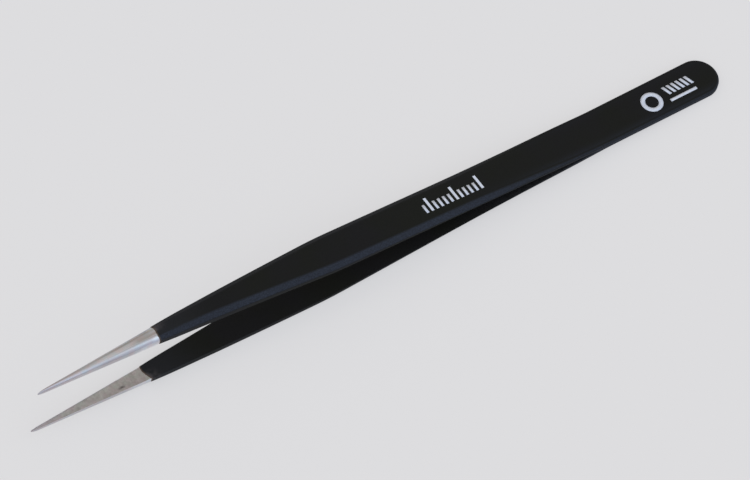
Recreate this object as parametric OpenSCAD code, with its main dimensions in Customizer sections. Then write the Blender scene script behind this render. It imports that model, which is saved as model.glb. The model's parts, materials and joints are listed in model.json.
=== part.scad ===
// Straight fine-point anti-static tweezers, in millimetres, with +Z up.
// Two ground steel arms are spot-welded together at the tail and dipped in a black dissipative
// coating that leaves the points bare. An arm is drawn along X from the tail end at X = 0, with
// the joint face between the arms at Z = 0. The lower arm is the upper one mirrored. The pair is
// then laid down, so that the tail and the belly of the lower arm touch the bench plane Z = 0
// and the origin is under the middle of the tweezers.

/* [Overall] */
// Length from the coated tail end to the ends of the points
overall_l = 140; // [115:1:170]
// Free gap between the two points
tip_gap = 10.8; // [7:0.2:14]

/* [Outline] */
// Width of the steel at the round tail end
tail_w = 7.2; // [6:0.1:9]
// Width of the steel at the shoulder, where the point starts to narrow
shoulder_w = 6.9; // [5.5:0.1:8.5]
// Length of the narrowing point, from the shoulder to its end
point_l = 57; // [45:1:65]
// Half length of the rounded change of direction at the shoulder
shoulder_blend = 3; // [1:0.5:8]
// Width of the point at its end
point_w = 0.24; // [0.16:0.02:0.6]
// Length over which the end of the point is rounded off
nose_l = 0.35; // [0.2:0.05:0.8]

/* [Thickness] */
// Thickness of the springy leaf that makes the tail half of an arm
leaf_t = 0.55; // [0.45:0.05:0.9]
// Length of the leaf, from the tail end to where the arm starts to thicken
leaf_l = 46; // [42:1:52]
// Half length of the rounded start of the thickening
leaf_blend = 5; // [1:0.5:8]
// Thickness that the arm rises to at its belly
belly_t = 1.6; // [1.3:0.05:2.2]
// Distance of the belly from the end of the point
belly_from_tip = 31; // [28:1:36]
// Half length of the rounded crest of the belly
belly_blend = 7; // [2:1:10]
// Thickness of the point at its end
point_t = 0.6; // [0.4:0.05:0.8]

/* [Bevel] */
// Width of the bevel along the outer edges of the leaf
leaf_bevel_w = 0.2; // [0.1:0.05:0.35]
// Width of the bevel along the outer edges of the belly
belly_bevel_w = 0.9; // [0.5:0.05:1.2]
// Most that the bevel takes of the half width, where the point narrows
bevel_share = 0.45; // [0.3:0.05:0.6]
// Slope of the bevel below the outer face, in degrees
bevel_angle = 34; // [25:1:38]
// Distance from the tail end at which the bevel starts to widen
bevel_start = 33; // [28:1:38]
// Length over which the bevel widens
bevel_run_out = 20; // [12:1:26]

/* [Bow] */
// Length over which the welded arms lie face to face, from the tail end
joined_l = 25.5; // [22:0.5:30]
// Half length of the bend where the arms part
crotch_blend = 1.5; // [0.5:0.5:3]
// Length of the bend that brings the points back to parallel, from the end of the points
bow_l = 56; // [40:1:70]

/* [Coating] */
// Thickness of the dissipative coating
coat_t = 0.11; // [0.08:0.01:0.2]
// Length of bare steel at each point
bare_l = 23; // [20:0.5:27]

/* [Welds] */
// Diameter of a spot-weld nugget, which is a lens across the joint of the arms
weld_d = 3; // [2:0.1:4]
// Thickness of a nugget at its middle, half of it in each arm
weld_t = 0.5; // [0.3:0.05:0.7]
// Distance of the first weld from the tail end
weld_start = 6.5; // [5:0.5:8]
// Spacing of the two welds
weld_pitch = 11; // [8:0.5:12]

/* [Flexing] */
// Distance of the flexing line from the tail end: each arm turns there when it is pinched
flex_x = 38; // [35:0.5:41]

/* [Smoothness] */
// Longest step between two cross-sections of an arm
section_step = 2.5; // [1.5:0.5:5]
// Cross-sections in each quarter of the round tail end
fan_steps = 8; // [4:1:12]
// Steps in the arc by which the coating turns a corner of the steel
turn_steps = 2; // [1:1:4]

/* [Hidden] */

steel_colour = [0.70, 0.69, 0.67];
weld_colour = [0.52, 0.51, 0.49];
coat_colour = [0.11, 0.115, 0.11];

tail_r = tail_w / 2;
blade_l = overall_l - coat_t;
shoulder_x = blade_l - point_l;
belly_x = blade_l - belly_from_tip;
coat_x = blade_l - bare_l;
bow_x = blade_l - bow_l / 2;

// Slopes of the outline and of the thickness on each side of the shoulder and of the belly
strip_slope = (tail_w - shoulder_w) / 2 / (shoulder_x - tail_r);
point_slope = (shoulder_w - point_w) / 2 / point_l;
rise_slope = (belly_t - leaf_t) / (belly_x - leaf_l);
fall_slope = (belly_t - point_t) / belly_from_tip;

// What the end of the point keeps of its width and thickness, once it is rounded off, and the
// shares of the rounded length that have a cross-section
nose_keep = 0.45;
nose_shares = [0.6, 1];

// Half length of the rounded start and end of the bevel's widening
bevel_blend = 2;

// Length by which a cutting leaf runs past the coating that it hollows out
past = 1;

// Facets round a nugget, and rings from its middle to its rim
weld_facets = 48;
weld_rings = 4;

// 0 before a corner at x = 0 and x after it, with a parabola of half length r across the corner
function soften(x, r) = x <= -r ? 0 : x >= r ? x : pow(x + r, 2) / (4 * r);

// Share of the size that is left at x, where the nose of the point is rounded off
function nose(x) =
    let (q = max(0, (x - blade_l + nose_l) / nose_l))
    sqrt(1 - (1 - nose_keep * nose_keep) * q * q);

// Half width, thickness and inner-face height of the steel at x
function half_w(x) = nose(x) * (tail_r - strip_slope * max(0, x - tail_r)
    - (point_slope - strip_slope) * soften(x - shoulder_x, shoulder_blend));
function thickness(x) = nose(x) * (leaf_t + rise_slope * soften(x - leaf_l, leaf_blend)
    - (rise_slope + fall_slope) * soften(x - belly_x, belly_blend));
function opening(x) = soften(x - joined_l, crotch_blend) - soften(x - bow_x, bow_l / 2);
function inner_z(x) = tip_gap / 2 * opening(x) / opening(blade_l);

// Width of the bevel across the outer face at x, and its drop below that face
function bevel_w(x) =
    let (grown = soften(x - bevel_start, bevel_blend)
        - soften(x - bevel_start - bevel_run_out, bevel_blend))
    min(leaf_bevel_w + (belly_bevel_w - leaf_bevel_w) * grown / bevel_run_out,
        bevel_share * half_w(x));
function bevel_drop(x) = bevel_w(x) * tan(bevel_angle);

// One side of a cross-section, as points [inset from the edge, height over the inner face],
// from the inner face up the wall and over the bevel: bare steel, then steel in its coating,
// which turns each corner of the steel in a small arc. The angles are where the inner face, the
// wall, the bevel and the outer face look, with 0 outwards across the width.
facing = [-90, 0, 90 - bevel_angle, 90];
function steel_side(x) = [
    [0, 0],
    [0, thickness(x) - bevel_drop(x)],
    [bevel_w(x), thickness(x)]
];
function coat_side(x) =
    let (corners = steel_side(x))
    [
        for (i = [0 : 2]) for (q = [0 : turn_steps])
            let (a = facing[i] + (facing[i + 1] - facing[i]) * q / turn_steps)
            corners[i] + coat_t * [-cos(a), sin(a)]
    ];

// A station is [centre x, half width, angle]. Angles under 90 degrees fan round the tail end.
function station(x) = [x, half_w(x), 90];
function place(s, p, hand) = [
    s[0] - (s[1] - p[0]) * cos(s[2]),
    hand * (s[1] - p[0]) * sin(s[2]),
    inner_z(s[0]) + p[1]
];
function ring(s, side) = concat(
    [for (p = side) place(s, p, 1)],
    [for (i = [len(side) - 1 : -1 : 0]) place(s, side[i], -1)]
);

// Values from a to b, no further apart than section_step
function steps(a, b) =
    let (n = ceil((b - a) / section_step))
    [for (i = [0 : n]) a + (b - a) * i / n];
function but_first(list) = [for (i = [1 : len(list) - 1]) list[i]];

fan = [for (i = [0 : fan_steps - 1]) [tail_r, tail_r, 90 * (i + 0.5) / fan_steps]];
leaf_stations = concat(fan, [for (x = steps(tail_r, flex_x)) station(x)]);
coated_stations = [for (x = steps(flex_x, coat_x)) station(x)];
bare_stations = concat(
    [for (x = steps(coat_x, blade_l - nose_l)) station(x)],
    [for (q = nose_shares) station(blade_l - nose_l + nose_l * q)]
);
blade_stations = concat(coated_stations, but_first(bare_stations));

function steel_rings(stations) = [for (s = stations) ring(s, steel_side(s[0]))];
function coat_rings(stations) = [for (s = stations) ring(s, coat_side(s[0]))];

// Laid down, the coated lower arm touches the bench at the edge of its tail face and at the
// cross-section that stands furthest out below the line from there
foot_x = leaf_bevel_w;
foot_z = leaf_t + coat_t;
function outer_z(x) = inner_z(x) + thickness(x) + (x <= coat_x ? coat_t : 0);
rest_tilt = max([for (s = blade_stations) atan((outer_z(s[0]) - foot_z) / (s[0] - foot_x))]);
function laid_x(p) = p[0] * cos(rest_tilt) - p[2] * sin(rest_tilt);
lift = foot_z * cos(rest_tilt) - foot_x * sin(rest_tilt);
tail_end_x = min([for (r = coat_rings(fan)) for (p = r) laid_x(p)]);
tip_end_x = max([for (r = steel_rings(bare_stations)) for (p = r) laid_x([p[0], p[1], -p[2]])]);

module laid_down() {
    translate([-(tail_end_x + tip_end_x) / 2, 0, lift]) rotate([0, -rest_tilt, 0]) children();
}

module lower() {
    mirror([0, 0, 1]) children();
}

// Triangles between the rings of a loft, each ring a loop of n points
function wall_faces(rings, n, first) = [
    for (i = [0 : rings - 2]) for (j = [0 : n - 1])
        let (a = first + i * n + j, b = first + i * n + (j + 1) % n)
        each [[a, a + n, b + n], [a, b + n, b]]
];
function reversed(face) = [for (i = [len(face) - 1 : -1 : 0]) face[i]];

// Strips across one end of a loft, from its right side to its left side
function end_faces(n, first) = [
    for (j = [0 : n / 2 - 2]) [first + j, first + j + 1, first + n - 2 - j, first + n - 1 - j]
];

// Solid through a list of rings
module loft(rings) {
    n = len(rings[0]);
    last = (len(rings) - 1) * n;
    polyhedron(
        points = [for (r = rings) each r],
        faces = concat(
            wall_faces(len(rings), n, 0),
            end_faces(n, 0),
            [for (f = end_faces(n, last)) reversed(f)]
        )
    );
}

// Hollow skin between a list of coated rings and the steel rings inside them
module skin(outer, inner) {
    n = len(outer[0]);
    m = len(inner[0]);
    start = len(outer) * n;
    function turned(j) = floor(j / (turn_steps + 1));
    function corner(j) = j < n / 2 ? turned(j) : m - 1 - turned(n - 1 - j);
    function rim(o, i) = [
        for (j = [0 : n - 1])
            let (k = (j + 1) % n)
            corner(j) == corner(k)
                ? [o + j, o + k, i + corner(j)]
                : [o + j, o + k, i + corner(k), i + corner(j)]
    ];
    polyhedron(
        points = concat([for (r = outer) each r], [for (r = inner) each r]),
        faces = concat(
            wall_faces(len(outer), n, 0),
            [for (f = wall_faces(len(inner), m, start)) reversed(f)],
            rim(0, start),
            [for (f = rim(start - n, start + (len(inner) - 1) * m)) reversed(f)]
        )
    );
}

module blade() {
    loft(steel_rings(blade_stations));
}

module blade_skin() {
    skin(coat_rings(coated_stations), steel_rings(coated_stations));
}

module nuggets() {
    rim = [for (i = [0 : weld_rings]) weld_d / 2 * i / weld_rings];
    dome = [for (r = rim) [r, weld_t / 2 * (1 - pow(2 * r / weld_d, 2))]];
    lens = concat(dome, [for (i = [weld_rings - 1 : -1 : 0]) [dome[i][0], -dome[i][1]]]);
    for (x = [weld_start, weld_start + weld_pitch])
        translate([x, 0, 0]) rotate_extrude($fn = weld_facets) polygon(lens);
}

module tail_leaf() {
    difference() {
        loft(steel_rings(leaf_stations));
        nuggets();
    }
}

// Steel leaf that runs on past the flexing line, to hollow out the coating of the tail
module leaf_core() {
    loft(steel_rings(concat(leaf_stations, [station(flex_x + past)])));
}

module tail_skin() {
    difference() {
        union() {
            loft(coat_rings(leaf_stations));
            lower() loft(coat_rings(leaf_stations));
        }
        leaf_core();
        lower() leaf_core();
    }
}

module upper_arm() {
    color(steel_colour) laid_down() blade();
}

module lower_arm() {
    color(steel_colour) laid_down() lower() blade();
}

module upper_tail_leaf() {
    color(steel_colour) laid_down() tail_leaf();
}

module lower_tail_leaf() {
    color(steel_colour) laid_down() lower() tail_leaf();
}

module weld_nuggets() {
    color(weld_colour) laid_down() nuggets();
}

module upper_arm_coating() {
    color(coat_colour) laid_down() blade_skin();
}

module lower_arm_coating() {
    color(coat_colour) laid_down() lower() blade_skin();
}

module tail_coating() {
    color(coat_colour) laid_down() tail_skin();
}

upper_arm();
lower_arm();
upper_tail_leaf();
lower_tail_leaf();
weld_nuggets();
upper_arm_coating();
lower_arm_coating();
tail_coating();
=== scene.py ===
# Straight fine-point anti-static tweezers: two ground steel arms, spot-welded at the tail and
# dipped in a black dissipative epoxy that leaves the points bare.
# An arm is drawn in millimetres: x from its tail end to its point, y across its width, and z
# out from the joint face of the pair, in the direction that the arms open.

import json
import math

import bmesh
import bpy
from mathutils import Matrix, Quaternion, Vector, noise
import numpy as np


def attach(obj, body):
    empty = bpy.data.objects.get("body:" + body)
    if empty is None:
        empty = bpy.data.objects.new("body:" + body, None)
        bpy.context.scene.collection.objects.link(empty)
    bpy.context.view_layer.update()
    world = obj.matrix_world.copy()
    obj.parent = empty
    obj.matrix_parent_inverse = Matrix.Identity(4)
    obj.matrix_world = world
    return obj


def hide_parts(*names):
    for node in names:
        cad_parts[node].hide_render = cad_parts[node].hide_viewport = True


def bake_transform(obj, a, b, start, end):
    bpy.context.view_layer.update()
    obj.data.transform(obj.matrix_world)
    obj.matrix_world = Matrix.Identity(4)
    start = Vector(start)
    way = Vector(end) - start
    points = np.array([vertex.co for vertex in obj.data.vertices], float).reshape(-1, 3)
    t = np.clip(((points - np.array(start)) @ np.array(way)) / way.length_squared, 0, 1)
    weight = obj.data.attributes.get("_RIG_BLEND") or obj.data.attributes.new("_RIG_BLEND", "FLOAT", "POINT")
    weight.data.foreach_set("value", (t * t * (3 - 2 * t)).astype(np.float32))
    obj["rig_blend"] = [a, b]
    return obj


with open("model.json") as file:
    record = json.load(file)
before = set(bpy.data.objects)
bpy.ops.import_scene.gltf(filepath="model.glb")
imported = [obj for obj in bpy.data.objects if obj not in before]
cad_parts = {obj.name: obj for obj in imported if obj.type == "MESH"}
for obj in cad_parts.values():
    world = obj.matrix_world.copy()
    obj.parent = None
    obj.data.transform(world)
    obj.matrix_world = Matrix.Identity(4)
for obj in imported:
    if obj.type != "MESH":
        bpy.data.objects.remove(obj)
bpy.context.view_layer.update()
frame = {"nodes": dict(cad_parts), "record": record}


# The two arms. Each is one strip of stainless steel, stamped out with a round tail, thinned
# behind to a springy leaf and ground in front to a fine point, then bevelled along its outer
# edges and bowed. The grinding leaves fine lines that run along the arm.

mm = 0.001
arm_length = 139.89
tail_width = 7.2
shoulder_width = 6.9
point_length = 57
point_width = 0.34
shoulder_blend = 3
leaf_thickness = 0.55
leaf_length = 46
leaf_blend = 5
belly_thickness = 1.6
belly_to_point = 31
belly_blend = 7
point_thickness = 0.6
nose_length = 1.5
nose_end = 0.35
crown = 0.09
crown_start = 117.5
crown_run = 5
joined_length = 25.5
crotch_blend = 1.5
bow_length = 56
point_gap = 10.8
leaf_bevel = 0.2
belly_bevel = 0.9
bevel_share = 0.45
bevel_slope = math.radians(34)
bevel_start = 33
bevel_run = 20
bevel_blend = 2
skin = 0.11
weld_places = (6.5, 17.5)
weld_width = 3
weld_depth = 0.25

tail_radius = tail_width / 2
shoulder = arm_length - point_length
belly = arm_length - belly_to_point
bow = arm_length - bow_length / 2
strip_taper = (tail_width - shoulder_width) / 2 / (shoulder - tail_radius)
point_taper = (shoulder_width - point_width) / 2 / point_length
rise = (belly_thickness - leaf_thickness) / (belly - leaf_length)
fall = (belly_thickness - point_thickness) / belly_to_point

# The record's mount on top of the tail gives the place and the tilt of the drawing
mount_x = 12
tail_top = next(m for m in frame["record"]["mounts"] if m["name"] == "tail_top")
up = Vector(tail_top["axis"]).normalized()
along = Vector((up.z, 0, -up.x))
tail_end = Vector(tail_top["pos_m"]) - (along * mount_x + up * (leaf_thickness + skin)) * mm


def laid(x, y, z):
    """Place in the frame, in metres, of a point of the drawing."""
    return tail_end + (along * x + Vector((0, y, 0)) + up * z) * mm


def eased(x, blend):
    """0 before a corner at x = 0 and x after it, with a parabola across the corner."""
    if x <= -blend:
        return 0.0
    return x if x >= blend else (x + blend) ** 2 / (4 * blend)


def nose(x):
    q = max(0.0, (x - arm_length + nose_length) / nose_length)
    return math.sqrt(1 - (1 - nose_end ** 2) * q * q)


def half_width(x):
    turn = (point_taper - strip_taper) * eased(x - shoulder, shoulder_blend)
    return nose(x) * (tail_radius - strip_taper * max(0.0, x - tail_radius) - turn)


def thickness(x):
    swell = rise * eased(x - leaf_length, leaf_blend)
    return nose(x) * (leaf_thickness + swell - (rise + fall) * eased(x - belly, belly_blend))


def spread(x):
    return eased(x - joined_length, crotch_blend) - eased(x - bow, bow_length / 2)


def inner_face(x):
    return point_gap / 2 * spread(x) / spread(arm_length)


def bevel_width(x):
    grown = eased(x - bevel_start, bevel_blend) - eased(x - bevel_start - bevel_run, bevel_blend)
    wide = leaf_bevel + (belly_bevel - leaf_bevel) * grown / bevel_run
    return min(wide, bevel_share * half_width(x))


def spaced(a, b, cuts):
    """Points from a to b, without b."""
    return [a + (b - a) * i / cuts for i in range(cuts)]


corner_share = 0.45


def rounded(before, corner, after, reach, steps):
    """A curve across a corner that starts and ends at most reach away from it."""
    most = corner_share * min((before - corner).length, (after - corner).length)
    start = corner.lerp(before, min(reach, most) / max((before - corner).length, 1e-9))
    end = corner.lerp(after, min(reach, most) / max((after - corner).length, 1e-9))
    return [start.lerp(corner, i / steps).lerp(corner.lerp(end, i / steps), i / steps)
            for i in range(steps + 1)]


inner_corner_share = 0.4
inner_cuts = 14
wall_cuts = 5
bevel_cuts = 4
outer_cuts = 12
turn_steps = 5


def half_section(x, cover, under, reaches):
    """Half a cross-section as (y, z): from the middle of the inner face, up the wall and over
    the bevel to the middle of the outer face. The surface lies cover outside the steel, and
    under below its inner face."""
    foot = inner_face(x)
    top = foot + thickness(x)
    edge = half_width(x)
    bevel = bevel_width(x)
    inner_middle = Vector((0, foot - under))
    outer_middle = Vector((0, top + cover))
    inner_edge = Vector((edge + cover, foot - under))
    wall_top = Vector((edge + cover, top - bevel * math.tan(bevel_slope)
                       + cover * math.tan(math.pi / 4 - bevel_slope / 2)))
    crease = Vector((edge - bevel + cover * math.tan(bevel_slope / 2), top + cover))
    reach = min(reaches[0], inner_corner_share * edge,
                inner_corner_share * (wall_top - inner_edge).length)
    flat_end = Vector((min(edge, edge + cover - reach), foot - under))
    turns = [
        [inner_edge - Vector((reach, 0)) * (1 - i / turn_steps) ** 2
         + Vector((0, reach)) * (i / turn_steps) ** 2 for i in range(turn_steps + 1)],
        rounded(inner_edge, wall_top, crease, reaches[1], turn_steps),
        rounded(wall_top, crease, outer_middle, reaches[2], turn_steps),
    ]
    return (spaced(inner_middle, flat_end, inner_cuts) + [flat_end] + turns[0]
            + spaced(turns[0][-1], turns[1][0], wall_cuts)[1:] + turns[1]
            + spaced(turns[1][-1], turns[2][0], bevel_cuts)[1:] + turns[2]
            + spaced(turns[2][-1], outer_middle, outer_cuts)[1:] + [outer_middle])


bevel_from = inner_cuts + wall_cuts + turn_steps + 1
bevel_to = bevel_from + bevel_cuts + 2 * turn_steps


def on_bevel(j, size):
    """1 for a point of a ring that lies on a bevel, and 0 on the flats and the walls."""
    j = min(j, size - 1 - j)
    return max(0.0, min(1.0, (j - bevel_from) / turn_steps, (bevel_to - j) / turn_steps))


def stations(first, last, step):
    """Places along an arm from first to last, at most step apart."""
    count = math.ceil((last - first) / step)
    return [first + (last - first) * i / count for i in range(count + 1)]


fan_cuts = 14
fan_turns = spaced(0, math.pi / 2, fan_cuts)


def ring(half, x, turn=math.pi / 2):
    """A whole cross-section from its half. Before the round tail's end, it fans round."""
    reach = math.cos(turn)
    right = [Vector((x - p.x * reach, p.x * math.sin(turn), p.y)) for p in half]
    return right + [Vector((p.x, -p.y, p.z)) for p in reversed(right)]


def sheet_of(bm, side, rings, marks, gap=None):
    """Faces between a list of rings. marks gives each point's values for the material, and
    gap says which faces are left open."""
    drawn = bm.verts.layers.float_vector["drawn_mm"]
    grid = []
    for loop in rings:
        row = []
        for j, p in enumerate(loop):
            vertex = bm.verts.new(laid(p.x, p.y, side * p.z))
            vertex[drawn] = (p.x, p.y, side * p.z)
            for name, value in marks(j, p).items():
                vertex[bm.verts.layers.float[name]] = value
            row.append(vertex)
        grid.append(row)
    size = len(grid[0])
    for i in range(len(grid) - 1):
        for j in range(size):
            if gap is None or not gap(i, min(j, size - 2 - j)):
                k = (j + 1) % size
                bm.faces.new((grid[i][j], grid[i][k], grid[i + 1][k], grid[i + 1][j]))
    return grid


def new_mesh(layer_names):
    """An empty mesh whose points keep their place in the drawing and the named values."""
    bm = bmesh.new()
    bm.verts.layers.float_vector.new("drawn_mm")
    for name in layer_names:
        bm.verts.layers.float.new(name)
    return bm


open_seam = 0.0004


def finished(bm, name, material):
    """The object of a mesh, with its seams closed and smooth shading that keeps flats flat."""
    bmesh.ops.remove_doubles(bm, verts=bm.verts, dist=open_seam * mm)
    bmesh.ops.recalc_face_normals(bm, faces=bm.faces)
    mesh = bpy.data.meshes.new(name)
    bm.to_mesh(mesh)
    bm.free()
    mesh.shade_smooth()
    mesh.materials.append(material)
    piece = bpy.data.objects.new(name, mesh)
    bpy.context.scene.collection.objects.link(piece)
    flats = piece.modifiers.new("flats", "WEIGHTED_NORMAL")
    flats.weight = 90
    return piece


def linear(code):
    """Linear RGBA of an sRGB hex colour."""
    parts = [int(code[i:i + 2], 16) / 255 for i in (1, 3, 5)]
    return [c / 12.92 if c <= 0.04045 else ((c + 0.055) / 1.055) ** 2.4 for c in parts] + [1.0]


def add(tree, kind, inputs, **settings):
    """Adds a node. An input is a value, or the output of another node."""
    node = tree.nodes.new("ShaderNode" + kind)
    for name, value in settings.items():
        setattr(node, name, value)
    for socket, value in inputs.items():
        if isinstance(value, bpy.types.NodeSocket):
            tree.links.new(value, node.inputs[socket])
        else:
            node.inputs[socket].default_value = value
    return node


def blank(name):
    """A new material's tree, and its shader."""
    material = bpy.data.materials.new(name)
    material.use_nodes = True
    return material, material.node_tree, material.node_tree.nodes["Principled BSDF"]


# Ground stainless steel: a hard, slightly warm grey metal. The belt leaves satin lines along
# the arm, close together, so reflections spread across it. The stamped inner face is dull,
# mottled and pitted. The outer faces' colour carries painted light: bright painted walls, a
# painted dark line below the bevel, a bluish painted highlight on the crease with painted
# glints beside the skin and near the point, and paler, more even painted light on the
# sharpened point.
ground_steel, tree, shader = blank("ground_stainless_steel")
place = add(tree, "Attribute", {}, attribute_name="drawn_mm").outputs["Vector"]
round_arm = add(tree, "Attribute", {}, attribute_name="round_arm").outputs["Vector"]
inner = add(tree, "Attribute", {}, attribute_name="inner_face").outputs["Fac"]
girth_share = add(tree, "Attribute", {}, attribute_name="girth_share").outputs["Fac"]
grinding_line = 0.12  # real lines are about 0.02 mm apart, too fine to show
grinding_length = 30
streak = 0.45
mottle = 0.8
hue_patch = 1.3
pit_spacing = 1.5
pit = 0.09
stain = (122.3, 0.42, -5.24)
stain_size = 0.26
stain_stretch = (0.42, 1.0, 1.0)
lip_glint_end = 118.6
sharpened_from = 119.6
sharpened_to = 122.6
sharpened_blur = 2
satin_from = 123
satin_run = 8
fine_from = 126.5
fine_to = 131
heat_from = 130
lines_place = add(tree, "VectorMath", {0: place, 1: (1 / grinding_length, 1 / grinding_line,
                  1 / grinding_line)}, operation="MULTIPLY").outputs["Vector"]
lines = add(tree, "TexNoise", {"Vector": lines_place, "Scale": 1.0, "Detail": 2.0,
            "Roughness": 0.6}).outputs["Fac"]
streak_place = add(tree, "VectorMath", {0: round_arm, 1: (1 / grinding_length, 1 / streak, 1)},
                   operation="MULTIPLY").outputs["Vector"]
streaks = add(tree, "TexNoise", {"Vector": streak_place, "Scale": 1.0, "Detail": 3.0,
              "Roughness": 0.5}).outputs["Fac"]
streaky = add(tree, "MapRange", {"Value": streaks, "From Min": 0.3, "From Max": 0.7})
mottling = add(tree, "TexNoise", {"Vector": place, "Scale": 1 / mottle, "Detail": 4.0,
               "Roughness": 0.7}).outputs["Fac"]
mottled = add(tree, "MapRange", {"Value": mottling, "From Min": 0.3, "From Max": 0.7})
hues = add(tree, "TexNoise", {"Vector": place, "Scale": 1 / hue_patch, "Detail": 1.0})
hued = add(tree, "MapRange", {"Value": hues.outputs["Fac"], "From Min": 0.35, "From Max": 0.65})
far_along = add(tree, "SeparateXYZ", {0: place}).outputs["X"]

# Tones round an outer side, at shares of the way from the middle of the inner face to the
# middle of the outer one: the wall, its corner, the bevel, the crease and the flat. They stand
# beside the skin, behind the sharpened part, in it, and at its fine end. They are painted
# light, set for how the metal looks in this studio's light: the bright walls, the dark line at
# the wall's corner and the bluish highlight and glints on the crease are painted into the colour.
tones = {
    "beside": [(0.45, "#F4F6FC"), (0.56, "#E4E6EE"), (0.6, "#C4C4CC"), (0.65, "#E0E4EC"),
               (0.69, "#ECF4FA"), (0.72, "#E9EEF4"), (0.76, "#D3D6DC"), (1.0, "#CCC8C6")],
    "behind": [(0.45, "#F4F6FC"), (0.56, "#E4E6EE"), (0.6, "#BBBAC2"), (0.64, "#C4C4CB"),
               (0.69, "#D4DFE6"), (0.74, "#D3D8DF"), (0.8, "#CCC8C6"), (1.0, "#CCC8C6")],
    "ahead": [(0.45, "#DAD9DE"), (0.56, "#D3D2D7"), (0.6, "#C8C7CE"), (0.64, "#D5D4D9"),
              (0.69, "#CED3D8"), (0.76, "#CFD2D6"), (0.84, "#E9E7E9"), (1.0, "#EBE8EA")],
    "fine": [(0.45, "#E7E6EA"), (0.56, "#EAE9EE"), (0.6, "#E4E6EC"), (0.66, "#E2E8F1"),
             (0.74, "#D2D4D9"), (0.82, "#D3D1D4"), (0.9, "#D9D6D8"), (1.0, "#D9D6D8")],
}
for part, stops in tones.items():
    ramp = add(tree, "ValToRGB", {"Fac": girth_share})
    for element, (share, code) in zip(ramp.color_ramp.elements, (stops[0], stops[-1])):
        element.position = share
        element.color = linear(code)
    for share, code in stops[1:-1]:
        ramp.color_ramp.elements.new(share).color = linear(code)
    tones[part] = ramp.outputs["Color"]
# Just behind the skin's lip the crease carries a brighter painted glint.
past_lip_glint = add(tree, "MapRange", {"Value": far_along, "From Min": lip_glint_end - 1,
               "From Max": lip_glint_end}, interpolation_type="SMOOTHSTEP")
pointed = add(tree, "Mix", {"Factor": past_lip_glint.outputs["Result"], "A": tones["beside"],
              "B": tones["behind"]}, data_type="RGBA").outputs[2]
sharp = add(tree, "Math", {0: mottling, 1: sharpened_blur, 2: far_along},
            operation="MULTIPLY_ADD")
sharp = add(tree, "MapRange", {"Value": sharp.outputs["Value"],
            "From Min": sharpened_from + sharpened_blur / 2,
            "From Max": sharpened_to + sharpened_blur / 2}, interpolation_type="SMOOTHSTEP")
pointed = add(tree, "Mix", {"Factor": sharp.outputs["Result"], "A": pointed,
              "B": tones["ahead"]}, data_type="RGBA").outputs[2]
# At the fine end the tones are paler, more even painted light, with a painted bluish glint on the crease.
finer = add(tree, "MapRange", {"Value": far_along, "From Min": fine_from,
            "From Max": fine_to}, interpolation_type="SMOOTHSTEP")
pointed = add(tree, "Mix", {"Factor": finer.outputs["Result"], "A": pointed,
              "B": tones["fine"]}, data_type="RGBA").outputs[2]
veil = add(tree, "Mix", {"Factor": hued.outputs["Result"], "A": linear("#FFF8F8"),
           "B": linear("#F6FDFF")}, data_type="RGBA").outputs[2]
grind = add(tree, "Mix", {"Factor": streaky.outputs["Result"], "A": linear("#D0CCCA"),
            "B": linear("#FFFFFF")}, data_type="RGBA").outputs[2]
ground = add(tree, "Mix", {"Factor": 1.0, "A": pointed, "B": grind}, data_type="RGBA",
             blend_type="MULTIPLY").outputs[2]
ground = add(tree, "Mix", {"Factor": 1.0, "A": ground, "B": veil}, data_type="RGBA",
             blend_type="MULTIPLY").outputs[2]
stamped = add(tree, "Mix", {"Factor": mottled.outputs["Result"], "A": linear("#AAA6A5"),
              "B": linear("#CAC9C8")}, data_type="RGBA").outputs[2]
cast = add(tree, "Mix", {"Factor": hued.outputs["Result"], "A": linear("#FFF7F6"),
           "B": linear("#F8FCF5")}, data_type="RGBA").outputs[2]
stamped = add(tree, "Mix", {"Factor": 1.0, "A": stamped, "B": cast}, data_type="RGBA",
              blend_type="MULTIPLY").outputs[2]
pits = add(tree, "TexVoronoi", {"Vector": place, "Scale": 1 / pit_spacing}).outputs["Distance"]
pitted = add(tree, "MapRange", {"Value": pits, "From Min": pit / pit_spacing * 0.5,
             "From Max": pit / pit_spacing, "To Min": 0.5, "To Max": 0.0}).outputs["Result"]
stamped = add(tree, "Mix", {"Factor": pitted, "A": stamped, "B": linear("#5B534F")},
              data_type="RGBA").outputs[2]
bare = add(tree, "Mix", {"Factor": inner, "A": ground, "B": stamped}, data_type="RGBA").outputs[2]
heat = add(tree, "MapRange", {"Value": far_along, "From Min": heat_from,
           "From Max": arm_length, "To Max": 0.35}, interpolation_type="SMOOTHSTEP")
tinted = add(tree, "Mix", {"Factor": heat.outputs["Result"], "A": bare, "B": linear("#BDB4BE")},
             data_type="RGBA").outputs[2]
from_stain = add(tree, "VectorMath", {0: place, 1: stain}, operation="SUBTRACT").outputs["Vector"]
from_stain = add(tree, "VectorMath", {0: from_stain, 1: stain_stretch}, operation="MULTIPLY")
away = add(tree, "VectorMath", {0: from_stain.outputs["Vector"]}, operation="LENGTH")
blurred = add(tree, "Math", {0: mottling, 1: stain_size * 2, 2: away.outputs["Value"]},
              operation="MULTIPLY_ADD")
stained = add(tree, "MapRange", {"Value": blurred.outputs["Value"], "From Min": stain_size,
              "From Max": stain_size * 2.4, "To Min": 0.85, "To Max": 0.0}).outputs["Result"]
colour = add(tree, "Mix", {"Factor": stained, "A": tinted, "B": linear("#453C3A")},
             data_type="RGBA").outputs[2]
tree.links.new(colour, shader.inputs["Base Color"])
shader.inputs["Metallic"].default_value = 1.0
rough = add(tree, "MapRange", {"Value": inner, "To Min": 0.28, "To Max": 0.5}).outputs["Result"]
rough = add(tree, "Math", {0: mottling, 1: 0.12, 2: rough}, operation="MULTIPLY_ADD")
satin = add(tree, "MapRange", {"Value": far_along, "From Min": satin_from,
            "From Max": satin_from + satin_run, "To Max": 0.14},
            interpolation_type="SMOOTHSTEP")
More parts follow.
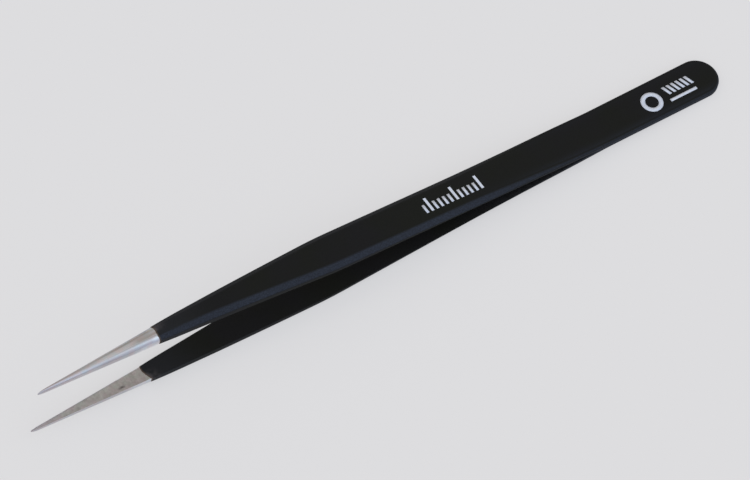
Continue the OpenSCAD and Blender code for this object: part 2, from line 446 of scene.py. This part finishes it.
rough = add(tree, "Math", {0: rough.outputs["Value"], 1: satin.outputs["Result"]}, operation="ADD")
tree.links.new(rough.outputs["Value"], shader.inputs["Roughness"])
streak_bump = add(tree, "Bump", {"Height": streaks, "Strength": 0.5, "Distance": 0.03 * mm})
bump = add(tree, "Bump", {"Height": lines, "Strength": 0.35, "Distance": 0.02 * mm,
           "Normal": streak_bump.outputs["Normal"]})
tree.links.new(bump.outputs["Normal"], shader.inputs["Normal"])


def weld_pocket(p):
    """Depth by which a nugget reaches into the inner face of an arm."""
    near = min(math.hypot(p.x - x, p.y) for x in weld_places)
    return max(0.0, weld_depth * (1 - (2 * near / weld_width) ** 2))


steel_step = 1.0
pocket_step = 0.25
pocket_end = 20
nose_start = 0.1
nose_cuts = 12
crease_reaches = (0.06, 0.2, 0.36)
girth_step = 0.1
round_point_from = 124
round_point_run = 12
round_point_most = 0.8
round_point_wall = 0.4


def steel_arm(name, side):
    """A whole arm, the upper one on side 1 and the lower one on side -1."""
    places = stations(tail_radius, pocket_end, pocket_step)
    places += stations(pocket_end, arm_length - nose_length, steel_step)[1:]
    places += [arm_length - nose_length * (1 - q) ** 2
               for q in spaced(nose_start, 1, nose_cuts) + [1]]
    tail = half_section(tail_radius, 0, 0, crease_reaches)
    rings = [ring(tail, tail_radius, turn) for turn in fan_turns]
    rings += [ring(half_section(x, 0, 0, crease_reaches), x) for x in places]
    for loop in rings:
        for j, p in enumerate(loop):
            if min(j, len(loop) - 1 - j) <= inner_cuts:
                p.z += weld_pocket(p)
            elif p.x > crown_start:
                share = min(1.0, abs(p.y) / half_width(p.x))
                p.z -= crown * min(1.0, (p.x - crown_start) / crown_run) * nose(p.x) * share ** 2
                rounding = max(0.0, min(1.0, (p.x - round_point_from) / round_point_run))
                wall = inner_face(p.x) + round_point_wall * thickness(p.x)
                cap = wall + (1 - round_point_wall) * thickness(p.x) * math.sqrt(1 - share ** 2)
                if p.z > wall:
                    p.z += round_point_most * rounding * (max(wall, min(cap, p.z)) - p.z)
    bm = new_mesh(["inner_face", "girth_share"])
    bm.verts.layers.float_vector.new("round_arm")

    def marks(j, p):
        step = min(j, len(rings[0]) - 1 - j)
        return {"inner_face": 1.0 if step <= inner_cuts else 0.0,
                "girth_share": step / (len(rings[0]) // 2 - 1)}

    grid = sheet_of(bm, side, rings, marks)
    drawn = bm.verts.layers.float_vector["drawn_mm"]
    round_arm = bm.verts.layers.float_vector["round_arm"]
    for row in grid:
        for j, vertex in enumerate(row):
            vertex[round_arm] = (vertex[drawn].x, j * girth_step, side)
    tip = grid[-1]
    for j in range(len(tip) // 2 - 1):
        bm.faces.new((tip[j], tip[j + 1], tip[-2 - j], tip[-1 - j]))
    return finished(bm, name, ground_steel)


flex_from = laid(24, 0, 0)
flex_to = laid(52, 0, 0)

upper_steel = steel_arm("upper_steel_arm", 1)
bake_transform(upper_steel, "tail", "upper_arm", start=flex_from, end=flex_to)
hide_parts("upper_arm", "upper_tail_leaf")

lower_steel = steel_arm("lower_steel_arm", -1)
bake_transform(lower_steel, "tail", "lower_arm", start=flex_from, end=flex_to)
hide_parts("lower_arm", "lower_tail_leaf")


# The spot welds. Two lenses of steel that melted and set again between the tail ends, where
# the welding electrodes pressed them together. They stay as the frame has them.

# Cast steel, as the weld leaves it: darker than the ground strip, with a coarse set grain.
weld_steel, tree, shader = blank("cast_weld_steel")
set_grain = 0.3
place = add(tree, "NewGeometry", {}).outputs["Position"]
grain = add(tree, "TexVoronoi", {"Vector": place, "Scale": 1 / (set_grain * mm)})
tone = add(tree, "Mix", {"Factor": grain.outputs["Distance"], "A": linear("#8F8C87"),
           "B": linear("#B4B1AB")}, data_type="RGBA").outputs[2]
tree.links.new(tone, shader.inputs["Base Color"])
shader.inputs["Metallic"].default_value = 1.0
shader.inputs["Roughness"].default_value = 0.55
for place_of_material in frame["nodes"]["weld_nuggets"].material_slots:
    place_of_material.material = weld_steel


# The coating. One skin of black dissipative epoxy: the welded arms are dipped in it tail
# first, as far as the bare points, and baked. It closes over the joint of the tail, rounds
# every edge and ends in a thin, slightly ragged lip. Its halves meet in the joint's plane.

coat_end = 116.89
lip_length = 0.12
lip_steps = 6
lip_share = 0.35
thin_from = 5
ragged_from = 3
coat_step = 0.8
coat_reaches = (0.09, 0.16, 0.22)

# Baked dissipative epoxy: a deep, slightly olive black from its carbon filler, matt, with an
# orange-peel skin and a fine grain. Painted light greys its near bevel bluish, and also the flat
# beside a narrow bevel and the walls, less on the far side; lighter painted light patches lie
# beside the lip and on the faces beyond the crotch. It is paler before the lip, partly where
# the skin runs thin and partly as painted light, and brown at the very end.
epoxy, tree, shader = blank("dissipative_epoxy")
place = add(tree, "Attribute", {}, attribute_name="drawn_mm").outputs["Vector"]
to_lip = add(tree, "Attribute", {}, attribute_name="to_lip").outputs["Fac"]
# Share of painted light patches near the lip and beyond the crotch.
painted_light_patches = add(tree, "Attribute", {}, attribute_name="painted_light_patches").outputs["Fac"]
# Share of painted light on the bevels, walls and inner faces.
painted_light_share = add(tree, "Attribute", {}, attribute_name="painted_light_share").outputs["Fac"]
drained_and_lit_length = 13
brown_length = 0.3
peel = 0.7
grain_size = 0.2  # the filler's real grain is about 0.05 mm, too fine to show
batch = 9
speck_spacing = 7
speck = 0.07
peel_height = add(tree, "TexNoise", {"Vector": place, "Scale": 1 / peel, "Detail": 1.0}
                  ).outputs["Fac"]
grain_height = add(tree, "TexNoise", {"Vector": place, "Scale": 1 / grain_size, "Detail": 2.0}
                   ).outputs["Fac"]
grain = add(tree, "MapRange", {"Value": grain_height, "From Min": 0.3, "From Max": 0.7})
cloud = add(tree, "TexNoise", {"Vector": place, "Scale": 1 / batch, "Detail": 2.0}).outputs["Fac"]
cloudy = add(tree, "MapRange", {"Value": cloud, "From Min": 0.35, "From Max": 0.65})
deep = add(tree, "Mix", {"Factor": cloudy.outputs["Result"], "A": linear("#0A0D07"),
           "B": linear("#0B0C0E")}, data_type="RGBA").outputs[2]
# Paler towards the lip: partly where the skin runs thin, partly painted light.
drained_and_lit = add(tree, "MapRange", {"Value": to_lip, "From Min": 2.0, "From Max": drained_and_lit_length,
              "To Min": 1.0, "To Max": 0.0}, interpolation_type="SMOOTHSTEP").outputs["Result"]
thin = add(tree, "Mix", {"Factor": drained_and_lit, "A": deep, "B": linear("#181A1D")},
           data_type="RGBA").outputs[2]
# The bluish grey of painted light on the near bevel and the walls.
grey = add(tree, "Mix", {"Factor": grain.outputs["Result"], "A": linear("#181C25"),
           "B": linear("#2D3440")}, data_type="RGBA").outputs[2]
painted_edges = add(tree, "Mix", {"Factor": painted_light_share, "A": thin, "B": grey}, data_type="RGBA").outputs[2]
patchy = add(tree, "MapRange", {"Value": peel_height, "From Min": 0.3, "From Max": 0.6})
patchy = add(tree, "Math", {0: painted_light_patches, 1: patchy.outputs["Result"]}, operation="MULTIPLY")
# Lighter painted light patches, broken up by the orange peel.
patched_light = add(tree, "Mix", {"Factor": patchy.outputs["Value"], "A": painted_edges,
              "B": linear("#474345")}, data_type="RGBA").outputs[2]
brown = add(tree, "MapRange", {"Value": to_lip, "From Max": brown_length, "To Min": 1.0,
            "To Max": 0.0}).outputs["Result"]
thinned = add(tree, "Mix", {"Factor": brown, "A": patched_light, "B": linear("#5E5043")},
              data_type="RGBA").outputs[2]
dust = add(tree, "TexVoronoi", {"Vector": place, "Scale": 1 / speck_spacing}).outputs["Distance"]
dusted = add(tree, "MapRange", {"Value": dust, "From Min": speck / speck_spacing * 0.6,
             "From Max": speck / speck_spacing, "To Min": 0.5, "To Max": 0.0}).outputs["Result"]
tone = add(tree, "Mix", {"Factor": dusted, "A": thinned, "B": linear("#6C6E72")},
           data_type="RGBA").outputs[2]
tree.links.new(tone, shader.inputs["Base Color"])
rough = add(tree, "MapRange", {"Value": grain_height, "To Min": 0.6, "To Max": 0.8})
tree.links.new(rough.outputs["Result"], shader.inputs["Roughness"])
shader.inputs["IOR"].default_value = 1.5
shader.inputs["Specular IOR Level"].default_value = 0.22
peel_bump = add(tree, "Bump", {"Height": peel_height, "Strength": 0.5, "Distance": 0.01 * mm})
grain_bump = add(tree, "Bump", {"Height": grain_height, "Strength": 0.6,
                 "Distance": 0.01 * mm, "Normal": peel_bump.outputs["Normal"]})
tree.links.new(grain_bump.outputs["Normal"], shader.inputs["Normal"])


wave_length = 1.1
wave_height = 0.12
ripple_length = 0.35
ripple_height = 0.06


def ragged(p, lip):
    """How far a lip stands forward at a point of the skin's edge. lip is its seed, and how
    much it leans and bulges across the arm."""
    seed, lean, bulge = lip
    wave = noise.noise(Vector((p.y / wave_length, p.z / wave_length, seed)))
    ripple = noise.noise(Vector((p.y / ripple_length, p.z / ripple_length, seed + 7)))
    return wave_height * wave + ripple_height * ripple + lean * p.y + bulge * p.y ** 2


def skin_ring(x, end, lip, share):
    """The outside of the skin and the steel's face under it at x, share of its thickness out
    from the steel."""
    thin = max(0.0, 1 - (end - x) / thin_from) ** 2
    share *= 1 - (1 - lip_share) * thin
    cover = skin * share
    under = min(cover, max(0.0, inner_face(x)))
    reaches = [reach * share for reach in coat_reaches]
    outside = ring(half_section(x, cover, under, reaches), x)
    inside = ring(half_section(x, 0, 0, (0, 0, 0)), x)
    forward = max(0.0, min(1.0, (x - end + ragged_from) / ragged_from)) ** 2
    if forward > 0:
        edge = ring(half_section(end, 0, 0, (0, 0, 0)), end)
        for j in range(len(outside)):
            moved = x + forward * ragged(edge[j], lip)
            under = min(cover, max(0.0, inner_face(moved)))
            outside[j] = ring(half_section(moved, cover, under, reaches), moved)[j]
            inside[j] = ring(half_section(moved, 0, 0, (0, 0, 0)), moved)[j]
    return outside, inside


# Painted light patches: lighter grey near the lip, more to one side of each arm, and on the inner faces
# beyond the crotch.
light_patch_length = 2.6
light_patch_fade = 1.5
light_patch_middle = 0.6
light_patch_across = 1.2
greyed_run = 30
# Painted light on the skin's edges: shares of a bluish grey for the near bevel, the flat beside a narrow
# bevel, the walls and the inner faces, weaker on the far side.
flat_light_reach = 1.8
narrow_bevel_light = 0.7
flat_light = 0.5
coat_wall_light = 0.1
tail_wall_light = 0.4
joint_wall_light = 0.5
inner_face_light = 0.15
inner_light_patch = 0.35
far_side_light = 0.25


def past_crotch(p):
    """1 in the tail, falling to 0 where the arms stand well apart."""
    return max(0.0, min(1.0, 1 - (p.x - joined_length) / greyed_run))


def painted_light_at(j, size, p):
    """How much painted light greys a point: most on the near bevel, also on the flat beside a narrow
    one and on the tail's wall, and less on the walls and inner faces beyond the crotch."""
    wide = (bevel_width(p.x) - leaf_bevel) / (belly_bevel - leaf_bevel)
    step = min(j, size - 1 - j)
    if step <= inner_cuts:
        return inner_face_light * past_crotch(p)
    share = on_bevel(j, size) * (narrow_bevel_light + (1 - narrow_bevel_light) * wide)
    if step > bevel_to:
        inside = half_width(max(p.x, tail_radius)) - bevel_width(p.x) - abs(p.y)
        share = flat_light * (1 - wide) * max(0.0, 1 - inside / flat_light_reach) ** 2
    elif step < bevel_from + turn_steps:
        low = max(0.0, 1 - p.z / leaf_thickness)
        share = max(share, coat_wall_light + (tail_wall_light + joint_wall_light * low) * past_crotch(p))
    return share * (1.0 if p.y > 0 else far_side_light)


def coat_half(name, side, end, lip):
    """Half of the skin, open where it meets the other half, with a thin lip at end."""
    pairs = []
    tail_out = half_section(tail_radius, skin, 0, coat_reaches)
    tail_in = half_section(tail_radius, 0, 0, (0, 0, 0))
    for turn in fan_turns:
        pairs.append((ring(tail_out, tail_radius, turn), ring(tail_in, tail_radius, turn)))
    for x in stations(tail_radius, end - ragged_from, coat_step):
        pairs.append(skin_ring(x, end, lip, 1.0))
    for x in stations(end - ragged_from, end - lip_length, coat_step / 2)[1:]:
        pairs.append(skin_ring(x, end, lip, 1.0))
    for i in range(1, lip_steps + 1):
        q = i / lip_steps
        pairs.append(skin_ring(end - lip_length * (1 - q), end, lip, math.sqrt(1 - q * q)))
    outside = [pair[0] for pair in pairs]
    inside = [pair[1] for pair in pairs]

    def joined(i, j):
        return j < inner_cuts and inner_face(outside[i + 1][0].x) <= 0

    bm = new_mesh(["to_lip", "painted_light_patches", "painted_light_share"])

    def marks(j, p):
        # Painted light patches: near the lip, leaning to one side, and on the inner faces beyond the crotch.
        before = outside[-1][j].x - p.x
        side_share = max(0.0, min(1.0, light_patch_middle - light_patch_across * side * p.y))
        light_patch = side_share * max(0.0, 1 - before / light_patch_length) ** light_patch_fade
        if min(j, len(outside[0]) - 1 - j) <= inner_cuts:
            light_patch = max(light_patch, inner_light_patch * past_crotch(p))
        return {"to_lip": before, "painted_light_share": painted_light_at(j, len(outside[0]), p), "painted_light_patches": light_patch}

    sheet_of(bm, side, outside, marks, joined)
    sheet_of(bm, side, inside, marks, joined)
    return finished(bm, name, epoxy)


upper_end = coat_end + 0.15
upper_lip = (3, 0.07, 0)
lower_end = coat_end + 0.82
lower_lip = (11, -0.16, -0.14)

upper_coat = coat_half("upper_epoxy_coat", 1, upper_end, upper_lip)
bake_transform(upper_coat, "tail", "upper_arm", start=flex_from, end=flex_to)
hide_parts("upper_arm_coating", "tail_coating")

lower_coat = coat_half("lower_epoxy_coat", -1, lower_end, lower_lip)
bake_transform(lower_coat, "tail", "lower_arm", start=flex_from, end=flex_to)
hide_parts("lower_arm_coating")


# The printed marks. A pad stamps them in pale ink on the baked skin of the upper arm: a plain
# scale of strokes in the middle, and a ring with slanted strokes and a bar on the tail.

ink_thickness = 0.012
ink_step = 0.5
circle_cuts = 48

# Pad-printing ink: a thin, matt, slightly lavender white, uneven where it went on thin.
ink, tree, shader = blank("pad_printed_ink")
place = add(tree, "Attribute", {}, attribute_name="drawn_mm").outputs["Vector"]
patch = 0.5
cover = add(tree, "TexNoise", {"Vector": place, "Scale": 1 / patch, "Detail": 3.0}).outputs["Fac"]
tone = add(tree, "Mix", {"Factor": cover, "A": linear("#C4CCDC"), "B": linear("#E9EFF7")},
           data_type="RGBA").outputs[2]
tree.links.new(tone, shader.inputs["Base Color"])
shader.inputs["Roughness"].default_value = 0.6


def coat_top(x):
    return inner_face(x) + thickness(x) + skin


def patch_of_ink(bm, corner_at, across, down):
    """A patch of ink over a grid: corner_at gives (x, y) for shares across and down of it."""
    drawn = bm.verts.layers.float_vector["drawn_mm"]
    layers = []
    for height in (ink_thickness, -ink_thickness):
        grid = []
        for i in range(across + 1):
            row = []
            for j in range(down + 1):
                x, y = corner_at(i / across, j / down)
                vertex = bm.verts.new(laid(x, y, coat_top(x) + height))
                vertex[drawn] = (x, y, coat_top(x))
                row.append(vertex)
            grid.append(row)
        layers.append(grid)
    top, foot = layers
    for i in range(across):
        for j in range(down):
            bm.faces.new((top[i][j], top[i + 1][j], top[i + 1][j + 1], top[i][j + 1]))
            bm.faces.new((foot[i][j], foot[i][j + 1], foot[i + 1][j + 1], foot[i + 1][j]))
    rim = [(i, 0) for i in range(across)] + [(across, j) for j in range(down)]
    rim += [(i, down) for i in range(across, 0, -1)] + [(0, j) for j in range(down, 0, -1)]
    for (a, b), (c, d) in zip(rim, rim[1:] + rim[:1]):
        bm.faces.new((top[a][b], foot[a][b], foot[c][d], top[c][d]))


def bar(bm, x0, x1, y0, y1):
    patch_of_ink(bm, lambda u, v: (x0 + (x1 - x0) * u, y0 + (y1 - y0) * v),
                 max(1, round((x1 - x0) / ink_step)), 1)


def slanted(bm, x, y0, y1, wide, lean):
    patch_of_ink(bm, lambda u, v: (x + wide * u + lean * v, y0 + (y1 - y0) * v), 1, 1)


def circle(bm, x, y, inside, outside):
    patch_of_ink(bm, lambda u, v: (
        x + (inside + (outside - inside) * v) * math.cos(math.tau * u),
        y + (inside + (outside - inside) * v) * math.sin(math.tau * u)), circle_cuts, 1)


stroke = 0.5
scale_start = 50.5
scale_pitch = 1.05
scale_strokes = 12
scale_foot = 1.25
scale_long = 2.8
scale_short = 1.7

bm = new_mesh([])
for i in range(scale_strokes):
    x = scale_start + scale_pitch * i
    tall = scale_long if i % 5 == 0 else scale_short
    bar(bm, x, x + stroke, scale_foot - tall, scale_foot)
middle_marks = finished(bm, "middle_marks", ink)
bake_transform(middle_marks, "tail", "upper_arm", start=flex_from, end=flex_to)

ring_middle = (13.8, 0.3)
ring_inside = 1.2
ring_outside = 2.0
slant_start = 5.4
slant_pitch = 0.95
slant_strokes = 6
slant_wide = 0.55
slant_lean = -0.6
slant_top = -1.3
slant_foot = 0.5
bar_start = 5.1
bar_end = 10.7
bar_top = 1.35
bar_foot = 1.9

bm = new_mesh([])
circle(bm, *ring_middle, ring_inside, ring_outside)
for i in range(slant_strokes):
    slanted(bm, slant_start + slant_pitch * i, slant_top, slant_foot, slant_wide, slant_lean)
bar(bm, bar_start, bar_end, bar_top, bar_foot)
tail_marks = finished(bm, "tail_marks", ink)
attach(tail_marks, "tail")


# The studio: a plain pale floor that fades into a backdrop of its own colour, soft even light
# that is a little brighter from the near side and warm off a wall at the far side, and a long
# lens above the arms at the photograph's angle.

floor_size = 4
glow_share = 0.72


def plain_where_seen(tree, lit, plain, share):
    """A lit shader with a share of a plain one in what the camera, a reflection or a glass
    sees of it, and with none in the light that it gives to the arms."""
    path = add(tree, "LightPath", {}).outputs
    seen = add(tree, "Math", {0: path["Is Camera Ray"], 1: path["Is Glossy Ray"]},
               operation="MAXIMUM").outputs["Value"]
    seen = add(tree, "Math", {0: seen, 1: path["Is Transmission Ray"]}, operation="MAXIMUM")
    share = add(tree, "Math", {0: seen.outputs["Value"], 1: share}, operation="MULTIPLY")
    mixed = add(tree, "MixShader", {0: share.outputs["Value"], 1: lit, 2: plain})
    return mixed.outputs["Shader"]


# Pale paper: matt and even. Most of what the camera sees of it is its own plain colour, so
# that the arms' shadow on it stays faint and soft.
floor_paper, tree, shader = blank("pale_paper")
shader.inputs["Base Color"].default_value = linear("#EFEDEB")
shader.inputs["Roughness"].default_value = 0.9
shader.inputs["Specular IOR Level"].default_value = 0.0
glow = add(tree, "Emission", {"Color": linear("#DFDFE1"), "Strength": 1.0}).outputs[0]
paper = plain_where_seen(tree, shader.outputs["BSDF"], glow, glow_share)
tree.links.new(paper, tree.nodes["Material Output"].inputs["Surface"])
mesh = bpy.data.meshes.new("floor")
half = floor_size / 2
mesh.from_pydata([(-half, -half, 0), (half, -half, 0), (half, half, 0), (-half, half, 0)], [],
                 [(0, 1, 2, 3)])
mesh.materials.append(floor_paper)
floor = bpy.data.objects.new("floor", mesh)
bpy.context.scene.collection.objects.link(floor)

world = bpy.data.worlds.new("studio")
bpy.context.scene.world = world
world.use_nodes = True
tree = world.node_tree
near_light = 1.02
far_light = 0.5
strip_side = 0.25
strip_half = 0.5
strip_light = 0.42
wall_light = 0.26
horizon_light = 0.3
sky_way = add(tree, "TexCoord", {}).outputs["Generated"]
nearness = add(tree, "VectorMath", {0: sky_way, 1: (0, 1, 0)}, operation="DOT_PRODUCT")
side_light = add(tree, "MapRange", {"Value": nearness.outputs["Value"], "From Min": -1.0,
                 "From Max": 0.8, "To Min": far_light, "To Max": near_light},
                 interpolation_type="SMOOTHSTEP").outputs["Result"]
off = add(tree, "Math", {0: nearness.outputs["Value"], 1: strip_side}, operation="SUBTRACT")
off = add(tree, "Math", {0: off.outputs["Value"]}, operation="ABSOLUTE").outputs["Value"]
strip = add(tree, "MapRange", {"Value": off, "From Max": strip_half, "To Min": strip_light,
            "To Max": 0.0}, interpolation_type="SMOOTHSTEP").outputs["Result"]
light = add(tree, "Math", {0: side_light, 1: strip}, operation="ADD").outputs["Value"]
far_wall = add(tree, "MapRange", {"Value": nearness.outputs["Value"], "From Min": -0.95,
               "From Max": -0.6, "To Min": 1.0, "To Max": 0.0},
               interpolation_type="SMOOTHSTEP").outputs["Result"]
light = add(tree, "Math", {0: far_wall, 1: wall_light, 2: light},
            operation="MULTIPLY_ADD").outputs["Value"]
height = add(tree, "SeparateXYZ", {0: sky_way}).outputs["Z"]
lift = add(tree, "MapRange", {"Value": height, "From Min": 0.0, "From Max": 0.5,
           "To Min": horizon_light}, interpolation_type="SMOOTHSTEP").outputs["Result"]
light = add(tree, "Math", {0: light, 1: lift}, operation="MULTIPLY").outputs["Value"]
tint = add(tree, "MapRange", {"Value": nearness.outputs["Value"], "From Min": -0.6,
           "From Max": 0.6}, interpolation_type="SMOOTHSTEP")
sky = add(tree, "Mix", {"Factor": tint.outputs["Result"], "A": linear("#FFFBF5"),
          "B": linear("#ECF2FF")}, data_type="RGBA")
sky = add(tree, "Mix", {"Factor": far_wall, "A": sky.outputs[2], "B": linear("#FFE2C4")},
          data_type="RGBA")
studio = tree.nodes["Background"]
tree.links.new(sky.outputs[2], studio.inputs["Color"])
tree.links.new(light, studio.inputs["Strength"])
low = add(tree, "MapRange", {"Value": height, "From Min": 0.05, "From Max": 0.12, "To Min": 1.0,
          "To Max": 0.0}, interpolation_type="SMOOTHSTEP").outputs["Result"]
backdrop = add(tree, "Background", {"Color": linear("#DBDBDD"), "Strength": 1.0}).outputs[0]
surroundings = plain_where_seen(tree, studio.outputs["Background"], backdrop, low)
tree.links.new(surroundings, tree.nodes["World Output"].inputs["Surface"])

view_azimuth = math.radians(136.0)
view_elevation = math.radians(56.4)
view_roll = math.radians(10.62)
view_distance = 997 * mm
view_target = Vector((1.36, -0.52, 4.0)) * mm
lens = 288

back = Vector((math.sin(view_azimuth) * math.cos(view_elevation),
               -math.cos(view_azimuth) * math.cos(view_elevation), math.sin(view_elevation)))
camera = bpy.data.objects.new("camera", bpy.data.cameras.new("camera"))
bpy.context.scene.collection.objects.link(camera)
camera.data.lens = lens
camera.data.sensor_width = 36
camera.location = view_target + back * view_distance
camera.rotation_mode = "QUATERNION"
camera.rotation_quaternion = (-back).to_track_quat("-Z", "Y") @ Quaternion((0, 0, 1), view_roll)
bpy.context.scene.camera = camera
bpy.context.scene.view_settings.view_transform = "Standard"
